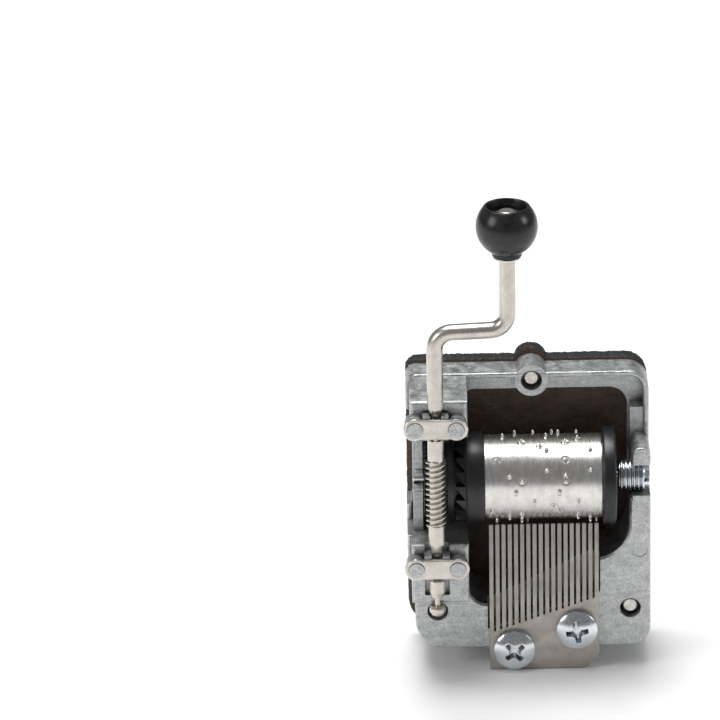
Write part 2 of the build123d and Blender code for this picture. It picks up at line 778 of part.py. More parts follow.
# ---------------------------------------------------------------- worm drive
# A two-start right-hand worm on the shaft turns a helical wheel.  Both have the same axial pitch, and
# a worm crest stands in the middle of a wheel gap at rest.
flank_slope = 0.3             # how fast a tooth thins with height, each side
worm_crest = worm_pitch_radius + tooth_rise
worm_root = worm_pitch_radius - tooth_fall
wheel_crest = wheel_pitch_radius + tooth_rise
wheel_root = wheel_pitch_radius - tooth_fall
crest_width = tooth_share * circular_pitch - 2 * flank_slope * tooth_rise
root_width = tooth_share * circular_pitch + 2 * flank_slope * tooth_fall
teeth_right = shaft_x + worm_crest + 0.2
teeth_width = teeth_right - wheel_left
wheel_twist = math.degrees(teeth_width * lead / (2 * math.pi * worm_pitch_radius) / wheel_pitch_radius)
front_gap = 180 - 180 / wheel_teeth


def toothed_outline(teeth, crest_radius, root_radius, crest_half, root_half, first):
    """Draws a ring of straight-sided teeth, with half widths as angles, the first tooth at an angle."""
    for tooth in range(teeth):
        middle = first + 360 / teeth * tooth
        crest = CenterArc((0, 0), crest_radius, middle - crest_half, 2 * crest_half)
        gap = 360 / teeth - 2 * root_half
        root = CenterArc((0, 0), root_radius, middle + root_half, gap)
        before = Vector(root_radius, 0).rotate(Axis.Z, middle - root_half)
        Line(before, crest @ 0)
        Line(crest @ 1, root @ 0)


worm_first = 90 - 360 * (drum_height - worm_bottom) / lead
with BuildSketch(Plane.XY) as worm_section:
    with BuildLine():
        toothed_outline(
            worm_starts,
            worm_crest,
            worm_root,
            180 * crest_width / lead,
            180 * root_width / lead,
            worm_first,
        )
    make_face()
worm_thread = Solid.extrude_linear_with_rotation(
    worm_section.sketch.face(),
    (0, 0, 0),
    (0, 0, worm_top - worm_bottom),
    360 * (worm_top - worm_bottom) / lead,
).moved(Location((shaft_x, shaft_y, worm_bottom)))

with BuildSketch(Plane.XY) as wheel_section:
    with BuildLine():
        toothed_outline(
            wheel_teeth,
            wheel_crest,
            wheel_root,
            math.degrees(crest_width / 2 / wheel_crest),
            math.degrees(root_width / 2 / wheel_root),
            front_gap - wheel_twist * (shaft_x - wheel_left) / teeth_width,
        )
    make_face()
wheel_rim = Solid.extrude_linear_with_rotation(
    wheel_section.sketch.face(),
    (0, 0, 0),
    (0, 0, teeth_width),
    wheel_twist,
)
wheel_rim = drum_plane(wheel_left).location * wheel_rim

with BuildPart() as worm_wheel:
    add(wheel_rim)
    # Smooth collar beside the teeth, and the hub that drives the cap
    with BuildSketch(drum_plane(teeth_right)):
        Circle(wheel_crest)
    extrude(amount=wheel_right - teeth_right)
    with BuildSketch(drum_plane(wheel_right)):
        Circle(ratchet_radius - ratchet_width - 0.5)
    extrude(amount=cap_left - wheel_right)
    with BuildSketch(drum_plane(wheel_left - 1)):
        Circle(arbor_bore)
    extrude(amount=cap_left - wheel_left + 2, mode=Mode.SUBTRACT)

finish(worm_wheel.part, "worm_wheel")

# ---------------------------------------------------------------- crank
# One steel rod: turned and threaded below, bent twice above, and riveted over inside the knob's cup.
neck_half = neck_length / 2
lower_neck = bracket_heights["lower_bracket"]
upper_neck = bracket_heights["upper_bracket"]
lower_profile = [
    (0, tip_bottom),
    (shaft_radius - 0.4, tip_bottom),
    (shaft_radius, tip_bottom + 0.6),
    (shaft_radius, groove_bottom - 0.3),
    (shaft_radius - 0.3, groove_bottom),
    (groove_radius, groove_bottom),
    (groove_radius, groove_top),
    (shaft_radius - 0.35, groove_top),
    (shaft_radius, groove_top + 0.9),
    (shaft_radius, lower_neck - neck_half - 0.5),
    (neck_radius, lower_neck - neck_half),
    (neck_radius, lower_neck + neck_half),
    (shaft_radius, lower_neck + neck_half + taper_length),
    (shaft_radius, worm_bottom),
    (0, worm_bottom),
]
upper_profile = [
    (0, worm_top),
    (shaft_radius, worm_top),
    (shaft_radius, upper_neck - neck_half - 0.3),
    (neck_radius, upper_neck - neck_half),
    (neck_radius, upper_neck + neck_half),
    (shaft_radius, upper_neck + neck_half + 0.9),
    (shaft_radius, straight_top),
    (0, straight_top),
]
shaft_side = Plane(origin=(shaft_x, shaft_y, 0), x_dir=(1, 0, 0), z_dir=(0, -1, 0))
shaft_axis = Axis((shaft_x, shaft_y, 0), (0, 0, 1))
with BuildPart() as crank_shaft:
    with BuildSketch(shaft_side):
        with BuildLine():
            Polyline(*lower_profile, close=True)
        make_face()
    revolve(axis=shaft_axis)
    with BuildSketch(shaft_side):
        with BuildLine():
            Polyline(*upper_profile, close=True)
        make_face()
    revolve(axis=shaft_axis)
    add(worm_thread)
    with BuildLine(face_plane(shaft_depth)) as rod_path:
        FilletPolyline(
            (shaft_x, straight_top),
            (shaft_x, arm_height),
            (handle_x, arm_height + arm_rise),
            (handle_x, washer_bottom),
            radius=bend_radius,
        )
    with BuildSketch(shaft_plane(straight_top)):
        Circle(shaft_radius)
    sweep(path=rod_path.line)
    with BuildSketch(handle_plane(washer_bottom)):
        Circle(spindle_radius)
    extrude(amount=handle_top - washer_bottom)
    with BuildSketch(handle_plane(handle_top - rivet_height)):
        Circle(rivet_radius)
    extrude(amount=rivet_height)
    chamfer(crank_shaft.edges().filter_by(GeomType.CIRCLE).sort_by(Axis.Z)[-1], 0.35, 0.6)

finish(crank_shaft.part, "crank_shaft")

# ---------------------------------------------------------------- knob
# Moulded ball with a cup in its top; it turns freely on the handle's spindle.
knob_bore = spindle_radius + running_clearance
neck_meets_ball = knob_centre - math.sqrt(knob_radius**2 - knob_neck_radius**2)
rim_outer = math.sqrt(knob_radius**2 - (knob_cut - knob_centre) ** 2)
handle_side = Plane(origin=(handle_x, shaft_y, 0), x_dir=(1, 0, 0), z_dir=(0, -1, 0))
handle_axis = Axis((handle_x, shaft_y, 0), (0, 0, 1))
with BuildPart() as knob:
    with BuildSketch(handle_side):
        with BuildLine():
            Polyline(
                (rim_outer, knob_cut),
                (cup_radius, knob_cut),
                (cup_radius - 0.15, cup_floor),
                (knob_bore, cup_floor),
                (knob_bore, knob_foot),
                (knob_neck_radius, knob_foot),
                (knob_neck_radius, neck_meets_ball),
            )
            ThreePointArc(
                (knob_neck_radius, neck_meets_ball),
                (knob_radius, knob_centre),
                (rim_outer, knob_cut),
            )
        make_face()
    revolve(axis=handle_axis)
    fillet(knob.edges().filter_by(GeomType.CIRCLE).group_by(Axis.Z)[-1], 0.14)

finish(knob.part, "knob")

with BuildPart() as knob_washer:
    with BuildSketch(handle_plane(washer_bottom)):
        Circle(washer_radius)
        Circle(spindle_radius + 0.02, mode=Mode.SUBTRACT)
    extrude(amount=washer_thickness)

finish(knob_washer.part, "knob_washer")

# ---------------------------------------------------------------- brackets
# Stamped plates with a waist, riveted over the posts, that hold the shaft's necks in their seats.
for label, height in bracket_heights.items():
    with BuildPart() as bracket:
        with BuildSketch(face_plane(bracket_depth)):
            with Locations((shaft_x, height)):
                Rectangle(post_spacing, bracket_waist)
                with GridLocations(post_spacing, 0, 2, 1):
                    Circle(bracket_lobe_radius)
                    Circle(post_radius + 0.02, mode=Mode.SUBTRACT)
        extrude(amount=bracket_thickness)
        chamfer(bracket.faces().sort_by(Axis.Y)[0].outer_wire().edges(), 0.15)
    finish(bracket.part, label)

# ---------------------------------------------------------------- bearing screw
# Zinc-plated grub screw in the right wall.  A blind hole in its end carries the arbor.
turns = int((bearing_right - bearing_left - 0.6) / thread_pitch)
thread_lead_in = 0.3
thread_profile = [
    (0, bearing_left),
    (bearing_root - thread_lead_in, bearing_left),
    (bearing_root, bearing_left + thread_lead_in),
]
for turn in range(turns):
    start = bearing_left + thread_lead_in + turn * thread_pitch
    thread_profile.append((bearing_root, start + 0.1 * thread_pitch))
    thread_profile.append((bearing_radius, start + 0.45 * thread_pitch))
    thread_profile.append((bearing_radius, start + 0.6 * thread_pitch))
    thread_profile.append((bearing_root, start + 0.95 * thread_pitch))
thread_profile += [(bearing_root, bearing_right), (0, bearing_right)]
bearing_side = Plane(origin=(0, drum_y, drum_height), x_dir=(0, 0, 1), z_dir=(0, 1, 0))
with BuildPart() as bearing_screw:
    with BuildSketch(bearing_side):
        with BuildLine():
            Polyline(*thread_profile, close=True)
        make_face()
    revolve(axis=Axis((0, drum_y, drum_height), (1, 0, 0)))
    with BuildSketch(drum_plane(bearing_left - 1)):
        Circle(arbor_radius + running_clearance)
    extrude(amount=bearing_hole_depth + 1, mode=Mode.SUBTRACT)
    # Slot for the screwdriver
    with BuildSketch(drum_plane(bearing_right - 0.9)):
        Rectangle(2 * bearing_radius + 1, 0.7)
    extrude(amount=2, mode=Mode.SUBTRACT)

finish(bearing_screw.part, "bearing_screw")
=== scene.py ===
import math

import bmesh
import bpy
import numpy as np
from mathutils import Matrix, Vector, noise


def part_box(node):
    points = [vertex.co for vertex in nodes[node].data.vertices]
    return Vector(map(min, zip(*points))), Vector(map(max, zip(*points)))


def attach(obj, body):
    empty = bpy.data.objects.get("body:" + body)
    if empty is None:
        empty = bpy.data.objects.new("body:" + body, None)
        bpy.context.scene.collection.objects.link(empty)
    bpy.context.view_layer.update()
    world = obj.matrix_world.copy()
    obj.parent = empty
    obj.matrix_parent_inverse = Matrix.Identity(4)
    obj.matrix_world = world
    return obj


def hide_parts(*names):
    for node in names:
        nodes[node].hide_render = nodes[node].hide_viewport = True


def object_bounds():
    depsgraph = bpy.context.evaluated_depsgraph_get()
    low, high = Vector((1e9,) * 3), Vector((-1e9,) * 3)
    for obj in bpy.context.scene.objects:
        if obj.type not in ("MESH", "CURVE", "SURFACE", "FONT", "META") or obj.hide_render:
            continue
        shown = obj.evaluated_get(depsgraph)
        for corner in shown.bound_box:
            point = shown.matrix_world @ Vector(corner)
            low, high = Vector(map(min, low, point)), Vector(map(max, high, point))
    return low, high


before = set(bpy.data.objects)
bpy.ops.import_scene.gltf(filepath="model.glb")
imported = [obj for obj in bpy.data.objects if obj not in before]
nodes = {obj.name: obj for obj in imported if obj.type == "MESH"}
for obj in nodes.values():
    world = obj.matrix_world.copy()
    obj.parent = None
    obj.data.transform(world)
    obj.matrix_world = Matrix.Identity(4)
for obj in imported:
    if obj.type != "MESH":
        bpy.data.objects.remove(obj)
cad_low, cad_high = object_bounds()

# ---------------------------------------------------------------- Table, light and camera
# The movement stands on a plain white sweep.  A large softbox hangs overhead with a smaller one at each
# side, a fourth lights the sweep behind, and a long lens looks from in front and a little above.
white = bpy.data.materials.new("white_sweep")
white.use_nodes = True
white.node_tree.nodes["Principled BSDF"].inputs["Base Color"].default_value = (0.93, 0.93, 0.93, 1)
white.node_tree.nodes["Principled BSDF"].inputs["Roughness"].default_value = 0.7
half_sweep = 2.0
sweep_signs = ((-1, -1), (1, -1), (1, 1), (-1, 1))
sweep_corners = [(x * half_sweep, y * half_sweep, cad_low.z) for x, y in sweep_signs]
sweep_mesh = bpy.data.meshes.new("sweep")
sweep_mesh.from_pydata(sweep_corners, [], [(0, 1, 2, 3)])
sweep = bpy.data.objects.new("sweep", sweep_mesh)
sweep_mesh.materials.append(white)
bpy.context.scene.collection.objects.link(sweep)

room = bpy.data.worlds.new("room")
room.use_nodes = True
room.node_tree.nodes["Background"].inputs["Color"].default_value = (0.97, 0.98, 1.0, 1)
room.node_tree.nodes["Background"].inputs["Strength"].default_value = 0.22
bpy.context.scene.world = room
bpy.context.scene.view_settings.view_transform = "Standard"


def softbox(name, place, aim, size, power):
    """A square area light at a place, turned to an aim point."""
    lamp = bpy.data.lights.new(name, "AREA")
    lamp.size = size
    lamp.energy = power
    light = bpy.data.objects.new(name, lamp)
    light.location = place
    light.rotation_euler = (Vector(aim) - Vector(place)).to_track_quat("-Z", "Y").to_euler()
    bpy.context.scene.collection.objects.link(light)
    return light


middle = Vector((0, 0, 0.04))
softbox("overhead_softbox", (-0.10, 0.10, 0.95), middle, 0.50, 7.6)
softbox("left_softbox", (-0.85, -0.40, 0.50), middle, 0.45, 2.6)
softbox("right_softbox", (0.90, -0.20, 0.45), middle, 0.30, 1.3)
back_light = softbox("back_softbox", (0.0, 1.10, 0.75), (0, 0.6, 0), 0.80, 6.0)
back_light.visible_glossy = False

camera_data = bpy.data.cameras.new("camera")
camera_data.sensor_width = 36.0
camera_data.lens = 320.0
camera_data.clip_end = 10
camera = bpy.data.objects.new("camera", camera_data)
elevation = math.radians(22)
distance = 1.05
roll = math.radians(1.0)
aim = Vector((-0.0282, -0.0025, 0.0542))
camera.location = aim + distance * Vector((0, -math.cos(elevation), math.sin(elevation)))
look = (aim - camera.location).to_track_quat("-Z", "Y").to_matrix()
camera.rotation_euler = (look @ Matrix.Rotation(-roll, 3, "Z")).to_euler()
bpy.context.scene.collection.objects.link(camera)
bpy.context.scene.camera = camera

# ---------------------------------------------------------------- Frame
# Die-cast zinc alloy, left raw.  The skin is dull and finely grained from the blasted die, with cloudy
# flow marks, and the ends of its four posts are riveted over the brackets.
MM = 0.001


def start_material(name, colour, roughness, metallic=0.0):
    """A new material, returned with its node tree and its shader."""
    material = bpy.data.materials.new(name)
    material.use_nodes = True
    shader = material.node_tree.nodes["Principled BSDF"]
    shader.inputs["Base Color"].default_value = (*colour, 1)
    shader.inputs["Roughness"].default_value = roughness
    shader.inputs["Metallic"].default_value = metallic
    return material, material.node_tree, shader


def grain(tree, size_mm, stretch=(1, 1, 1), detail=5.0, roughness=0.6):
    """Noise in the piece's own space, with a grain size in millimetres, drawn out along an axis."""
    place = tree.nodes.new("ShaderNodeTexCoord")
    mapping = tree.nodes.new("ShaderNodeMapping")
    mapping.inputs["Scale"].default_value = [1 / (size_mm * MM * along) for along in stretch]
    tree.links.new(place.outputs["Object"], mapping.inputs["Vector"])
    texture = tree.nodes.new("ShaderNodeTexNoise")
    texture.inputs["Scale"].default_value = 1.0
    texture.inputs["Detail"].default_value = detail
    texture.inputs["Roughness"].default_value = roughness
    tree.links.new(mapping.outputs["Vector"], texture.inputs["Vector"])
    return texture.outputs["Fac"]


def between(tree, source, low, high, start=0.35, end=0.65):
    """Maps a noise value from its usual span to the span low to high."""
    span = tree.nodes.new("ShaderNodeMapRange")
    span.inputs["From Min"].default_value = start
    span.inputs["From Max"].default_value = end
    span.inputs["To Min"].default_value = low
    span.inputs["To Max"].default_value = high
    tree.links.new(source, span.inputs["Value"])
    return span.outputs["Result"]


def two_tone(tree, source, dark, light, start=0.35, end=0.65):
    """A colour that runs from dark to light with a noise value."""
    ramp = tree.nodes.new("ShaderNodeValToRGB")
    ramp.color_ramp.elements[0].position = start
    ramp.color_ramp.elements[0].color = (*dark, 1)
    ramp.color_ramp.elements[1].position = end
    ramp.color_ramp.elements[1].color = (*light, 1)
    tree.links.new(source, ramp.inputs["Fac"])
    return ramp.outputs["Color"]


def multiplied(tree, first, second, share=1.0):
    """Two colours multiplied, the second with a share."""
    mix = tree.nodes.new("ShaderNodeMix")
    mix.data_type = "RGBA"
    mix.blend_type = "MULTIPLY"
    mix.inputs["Factor"].default_value = share
    tree.links.new(first, mix.inputs["A"])
    tree.links.new(second, mix.inputs["B"])
    return mix.outputs["Result"]


def painted_corner_shade(tree, reach_mm, dark=(0.32, 0.31, 0.30)):
    """A painted shade that darkens the colour in inner corners, read from ambient occlusion."""
    shade = tree.nodes.new("ShaderNodeAmbientOcclusion")
    shade.samples = 8
    shade.only_local = True
    shade.inputs["Distance"].default_value = reach_mm * MM
    return two_tone(tree, shade.outputs["AO"], dark, (1.0, 1.0, 1.0), 0.25, 0.85)


def roughen(tree, shader, heights):
    """Bumps from a list of (height, depth in millimetres), chained into the shader."""
    before = None
    for height, depth_mm in heights:
        bump = tree.nodes.new("ShaderNodeBump")
        bump.inputs["Strength"].default_value = 1.0
        bump.inputs["Distance"].default_value = depth_mm * MM
        tree.links.new(height, bump.inputs["Height"])
        if before is not None:
            tree.links.new(before, bump.inputs["Normal"])
        before = bump.outputs["Normal"]
    tree.links.new(before, shader.inputs["Normal"])


def dress(node, material):
    """Gives a CAD piece its finished material."""
    for material_slot in nodes[node].material_slots:
        material_slot.material = material


zinc, tree, shader = start_material("raw_zinc", (0.6, 0.61, 0.63), 0.5, 0.85)
clouds = grain(tree, 1.8, detail=6.0, roughness=0.65)
streaks = grain(tree, 0.8, stretch=(5, 5, 0.8), detail=5.0, roughness=0.7)
sand = grain(tree, 0.28, detail=3.0)
pits = grain(tree, 0.55, detail=4.0, roughness=0.7)
tone = two_tone(tree, clouds, (0.45, 0.465, 0.465), (0.74, 0.75, 0.75), 0.3, 0.7)
speck = two_tone(tree, sand, (0.62, 0.62, 0.62), (1.0, 1.0, 1.0), 0.30, 0.56)
streak = two_tone(tree, streaks, (0.70, 0.70, 0.70), (1.0, 1.0, 1.0), 0.35, 0.6)
skin = multiplied(tree, multiplied(tree, tone, speck), streak, 0.7)
# The colour is darkened in inner corners and recesses by painted shade from ambient occlusion.
tree.links.new(multiplied(tree, skin, painted_corner_shade(tree, 1.6)), shader.inputs["Base Color"])
tree.links.new(between(tree, clouds, 0.28, 0.55), shader.inputs["Roughness"])
roughen(tree, shader, [(clouds, 0.16), (pits, 0.06), (sand, 0.035)])
dress("frame", zinc)

# ---------------------------------------------------------------- Soundboard
# Tempered hardboard, cut to the frame's outline.  Its faces are smooth and brown with short pressed
# fibres, and its cut edges are rough, furry and scorched nearly black.
board_low, board_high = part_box("soundboard")
board_lobe_radius = 2.75 * MM
board_lobe_centre = board_high.z - board_lobe_radius
board_top = board_high.z - 1.95 * MM
board_corners = {"left": 2.0 * MM, "right": 3.6 * MM, "low_right": 3.5 * MM, "low_left": 5.0 * MM}
edge_step = 0.22 * MM
edge_wear = 0.30 * MM
edge_rounding = 0.16 * MM
fibre_clump = 0.5 * MM
board_middle = Vector((0, 0, 0.026))
board_layers = 12


def arc_points(x, z, radius, start, end):
    """Points along an arc in the board's plane, from a start angle to an end angle in degrees."""
    count = max(3, int(abs(math.radians(end - start)) * radius / edge_step))
    angles = [math.radians(start + (end - start) * i / count) for i in range(count + 1)]
    return [(x + radius * math.cos(a), z + radius * math.sin(a)) for a in angles]


def board_outline():
    """The board's outline, anticlockwise from the lobe, with long sides divided finely."""
    left, right = board_low.x, board_high.x
    lobe_angle = math.degrees(math.asin((board_top - board_lobe_centre) / board_lobe_radius))
    outline = arc_points(0, board_lobe_centre, board_lobe_radius, lobe_angle, 180 - lobe_angle)
    for name, x, z, start in (
        ("left", left, board_top, 90),
        ("low_left", left, board_low.z, 180),
        ("low_right", right, board_low.z, 270),
        ("right", right, board_top, 0),
    ):
        radius = board_corners[name]
        centre_x = x + radius if x == left else x - radius
        centre_z = z + radius if z == board_low.z else z - radius
        outline += arc_points(centre_x, centre_z, radius, start, start + 90)
    fine = []
    for first, second in zip(outline, outline[1:] + outline[:1]):
        pieces = max(1, int(math.dist(first, second) / edge_step))
        for i in range(pieces):
            share = i / pieces
            fine.append(tuple(a + (b - a) * share for a, b in zip(first, second)))
    return fine


def build_board():
    """The board as rings of points from back to front, each worn inward by noise, and two faces."""
    outline = board_outline()
    bm = bmesh.new()
    rings = []
    for layer in range(board_layers + 1):
        share = layer / board_layers
        y = board_high.y + (board_low.y - board_high.y) * share
        rounding = edge_rounding * abs(2 * share - 1) ** 6
        ring = []
        for x, z in outline:
            point = Vector((x, y, z))
            rough = 0.5 + 0.5 * noise.fractal(point / fibre_clump, 0.6, 2.2, 4)
            inward = Vector((board_middle.x - x, 0, board_middle.z - z)).normalized()
            wear = rounding + edge_wear * min(max(rough, 0), 1)
            ring.append(bm.verts.new(point + inward * wear))
        rings.append(ring)
    count = len(outline)
    for back, front in zip(rings, rings[1:]):
        for i in range(count):
            j = (i + 1) % count
            bm.faces.new((back[i], front[i], front[j], back[j]))
    bm.faces.new(rings[0][::-1])
    bm.faces.new(rings[-1])
    bmesh.ops.recalc_face_normals(bm, faces=bm.faces)
    bmesh.ops.triangulate(bm, faces=[face for face in bm.faces if len(face.verts) > 4])
    mesh = bpy.data.meshes.new("hardboard_plate")
    bm.to_mesh(mesh)
    bm.free()
    return mesh


screw_nodes = ("board_screw_top", "board_screw_left", "board_screw_right")
screw_head_radius = 2.57 * MM
screw_hole_radius = 1.27 * MM
drill_play = 0.3 * MM
drill_sides = 64


def drill_board(mesh):
    """The board with a countersunk hole for each screw, cut from the back."""
    board = bpy.data.objects.new("board_blank", mesh)
    bpy.context.scene.collection.objects.link(board)
    sink = screw_head_radius - screw_hole_radius
    for node in screw_nodes:
        low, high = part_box(node)
        x, z = (low.x + high.x) / 2, (low.z + high.z) / 2
        bm = bmesh.new()
        rings = []
        for radius, y in (
            (screw_head_radius + drill_play, board_high.y + drill_play),
            (screw_hole_radius, board_high.y - sink),
            (screw_hole_radius, board_low.y - drill_play),
        ):
            ring = []
            for i in range(drill_sides):
                angle = 2 * math.pi * i / drill_sides
                ring.append(bm.verts.new((x + radius * math.cos(angle), y, z + radius * math.sin(angle))))
            rings.append(ring)
        for first, second in zip(rings, rings[1:]):
            for i in range(drill_sides):
                j = (i + 1) % drill_sides
                bm.faces.new((first[i], first[j], second[j], second[i]))
        bm.faces.new(rings[0][::-1])
        bm.faces.new(rings[-1])
        bmesh.ops.recalc_face_normals(bm, faces=bm.faces)
        drill_mesh = bpy.data.meshes.new("drill")
        bm.to_mesh(drill_mesh)
        bm.free()
        drill = bpy.data.objects.new("drill", drill_mesh)
        bpy.context.scene.collection.objects.link(drill)
        cut = board.modifiers.new("hole", "BOOLEAN")
        cut.operation = "DIFFERENCE"
        cut.solver = "EXACT"
        cut.object = drill
        bpy.context.view_layer.update()
        graph = bpy.context.evaluated_depsgraph_get()
        drilled = bpy.data.meshes.new_from_object(board.evaluated_get(graph))
        board.modifiers.clear()
        board.data = drilled
        bpy.data.objects.remove(drill)
    bpy.data.objects.remove(board)
    return drilled


def place(name, mesh, body, slot, replaced, material):
    """Links a finished mesh as a piece that rides on a body, with its material, in place of CAD nodes.
    The slot is not used.
    """
    piece = bpy.data.objects.new(name, mesh)
    bpy.context.scene.collection.objects.link(piece)
    mesh.materials.clear()
    mesh.materials.append(material)
    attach(piece, body)
    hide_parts(*replaced)


hardboard, tree, shader = start_material("hardboard", (0.07, 0.045, 0.033), 0.62)
fibre = grain(tree, 0.55, stretch=(2.2, 1, 0.8), detail=6.0, roughness=0.7)
mottle = grain(tree, 3.5, detail=4.0)
flecks = grain(tree, 0.3, detail=2.0)
brown = two_tone(tree, mottle, (0.062, 0.040, 0.029), (0.125, 0.082, 0.058), 0.3, 0.7)
fibres = two_tone(tree, fibre, (0.55, 0.52, 0.5), (1.15, 1.08, 1.0), 0.32, 0.66)
face_colour = multiplied(tree, brown, fibres)
facing = tree.nodes.new("ShaderNodeNewGeometry")
split = tree.nodes.new("ShaderNodeSeparateXYZ")
tree.links.new(facing.outputs["Normal"], split.inputs["Vector"])
flatness = tree.nodes.new("ShaderNodeMath")
flatness.operation = "ABSOLUTE"
tree.links.new(split.outputs["Y"], flatness.inputs[0])
scorch = between(tree, flatness.outputs["Value"], 0.0, 1.0, 0.55, 0.97)
burnt = two_tone(tree, fibre, (0.004, 0.004, 0.004), (0.030, 0.023, 0.019), 0.4, 0.75)
edge_mix = tree.nodes.new("ShaderNodeMix")
edge_mix.data_type = "RGBA"
tree.links.new(scorch, edge_mix.inputs["Factor"])
tree.links.new(burnt, edge_mix.inputs["A"])
tree.links.new(face_colour, edge_mix.inputs["B"])
tree.links.new(edge_mix.outputs["Result"], shader.inputs["Base Color"])
tree.links.new(between(tree, flecks, 0.5, 0.75), shader.inputs["Roughness"])
roughen(tree, shader, [(fibre, 0.05), (flecks, 0.02)])
place("hardboard_plate", drill_board(build_board()), "movement", "hardboard", ["soundboard"], hardboard)

# ---------------------------------------------------------------- Board screws
# Three small countersunk steel screws, satin zinc plated, driven from the back of the board.  Their
# turned ends show in the frame's holes.
screw_zinc, tree, shader = start_material("satin_zinc_plate", (0.72, 0.69, 0.64), 0.35, 1.0)
skin = grain(tree, 0.18, detail=3.0)
stain = grain(tree, 0.9)
tree.links.new(
    two_tone(tree, stain, (0.55, 0.51, 0.46), (0.80, 0.78, 0.74)),
    shader.inputs["Base Color"],
)
tree.links.new(between(tree, skin, 0.25, 0.5), shader.inputs["Roughness"])
roughen(tree, shader, [(skin, 0.012)])
for node in screw_nodes:
    dress(node, screw_zinc)

# ---------------------------------------------------------------- Comb
# One plate of hardened spring steel, ground flat and sawn into 18 teeth.  It is grey-brown from the
# heat, with fine grinding marks, and each sawn edge is broken.


def softened(node, width_mm, segments=2, angle=35):
    """A copy of a CAD piece's mesh with its sharp edges broken by a small bevel."""
    bm = bmesh.new()
    bm.from_mesh(nodes[node].data)
    bmesh.ops.remove_doubles(bm, verts=bm.verts, dist=1e-6)
    bmesh.ops.dissolve_limit(bm, angle_limit=math.radians(0.8), verts=bm.verts, edges=bm.edges)
    mesh = bpy.data.meshes.new(node + "_softened")
    bm.to_mesh(mesh)
    bm.free()
    if "custom_normal" in mesh.attributes:
        mesh.attributes.remove(mesh.attributes["custom_normal"])
    work = bpy.data.objects.new(node + "_work", mesh)
    bpy.context.scene.collection.objects.link(work)
    bevel = work.modifiers.new("broken_edges", "BEVEL")
    bevel.width = width_mm * MM
    bevel.segments = segments
    bevel.limit_method = "ANGLE"
    bevel.angle_limit = math.radians(angle)
    bevel.use_clamp_overlap = True
    bevel.harden_normals = False
    bpy.context.view_layer.update()
    result = bpy.data.meshes.new_from_object(work.evaluated_get(bpy.context.evaluated_depsgraph_get()))
    bpy.data.objects.remove(work)
    for face in result.polygons:
        face.use_smooth = True
    result.set_sharp_from_angle(angle=math.radians(30))
    return result


comb_steel, tree, shader = start_material("ground_spring_steel", (0.3, 0.275, 0.255), 0.4, 0.9)
grinding = grain(tree, 0.05, stretch=(1, 1, 30), detail=3.0)
heat = grain(tree, 3.0, detail=3.0)
specks = grain(tree, 0.16, detail=2.0)
steel_tone = two_tone(tree, heat, (0.40, 0.365, 0.335), (0.52, 0.485, 0.45), 0.3, 0.7)
steel_fine = two_tone(tree, grinding, (0.80, 0.79, 0.78), (1.05, 1.05, 1.05), 0.3, 0.7)
tree.links.new(multiplied(tree, steel_tone, steel_fine), shader.inputs["Base Color"])
tree.links.new(between(tree, specks, 0.34, 0.52), shader.inputs["Roughness"])
roughen(tree, shader, [(grinding, 0.006), (specks, 0.006)])
place("comb_plate", softened("comb", 0.05), "movement", "comb_steel", ["comb"], comb_steel)

# ---------------------------------------------------------------- Comb weights
# Small lead blocks soldered under the longest teeth to bring their notes down.  They are soft, dull
# and slightly lumpy.
lead, tree, shader = start_material("dull_lead", (0.22, 0.22, 0.235), 0.6, 0.6)
lump = grain(tree, 0.4)
tree.links.new(
    two_tone(tree, lump, (0.14, 0.14, 0.15), (0.30, 0.30, 0.32)),
    shader.inputs["Base Color"],
)
tree.links.new(between(tree, lump, 0.45, 0.75), shader.inputs["Roughness"])
roughen(tree, shader, [(lump, 0.05)])
for number in range(1, 7):
    weight = f"comb_weight_{number}"
    place(f"lead_block_{number}", softened(weight, 0.07), "movement", "lead", [weight], lead)

# ---------------------------------------------------------------- Comb screws
# Two pan-head machine screws with a cross recess, bright blue-white zinc plate over a cold-formed
# head, that clamp the comb to its seat.
bright_zinc, tree, shader = start_material("bright_zinc_plate", (0.82, 0.85, 0.88), 0.18, 1.0)
swirl = grain(tree, 0.35, detail=4.0)
fine = grain(tree, 0.08, detail=2.0)
plate_tone = two_tone(tree, swirl, (0.60, 0.65, 0.69), (0.84, 0.87, 0.89), 0.3, 0.7)
# The colour is darkened in the cross recess and other inner corners by painted shade from ambient
# occlusion.
tree.links.new(multiplied(tree, plate_tone, painted_corner_shade(tree, 0.8)), shader.inputs["Base Color"])
tree.links.new(between(tree, swirl, 0.14, 0.24), shader.inputs["Roughness"])
roughen(tree, shader, [(swirl, 0.012), (fine, 0.001)])
for side in ("left", "right"):
    node = f"comb_screw_{side}"
    place(f"{side}_pan_head_screw", softened(node, 0.08), "movement", "bright_zinc", [node], bright_zinc)

# ---------------------------------------------------------------- Drum sleeve
# A thin plated steel tube.  Each pin is punched out from inside, so it stands in a shallow dish with
# a raised lip, and its tip is rounded.
sleeve_low, sleeve_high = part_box("drum_sleeve")
axis_y = (sleeve_low.y + sleeve_high.y) / 2
axis_z = (sleeve_low.z + sleeve_high.z) / 2
sleeve_radius = 7.0 * MM
sleeve_bore = 6.55 * MM
pin_top = (sleeve_high.z - sleeve_low.z) / 2
pin_radius = 0.27 * MM
comb_low, comb_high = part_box("comb")
tooth_count = 18
tooth_gap = 0.35 * MM
tooth_pitch = (comb_high.x - comb_low.x + tooth_gap) / tooth_count
first_tooth = comb_low.x + (tooth_pitch - tooth_gap) / 2
dish_radius = 0.46
dish_depth = 0.09 * MM
end_roll = 0.12 * MM
beat_turn = 15.0
melody = [0, 4, 7, 11, 7, 4, 2, 5, 9, 12, 9, 5, 4, 7, 11, 14, 16, 17, 12, 8, 6, 10, 13, 3]


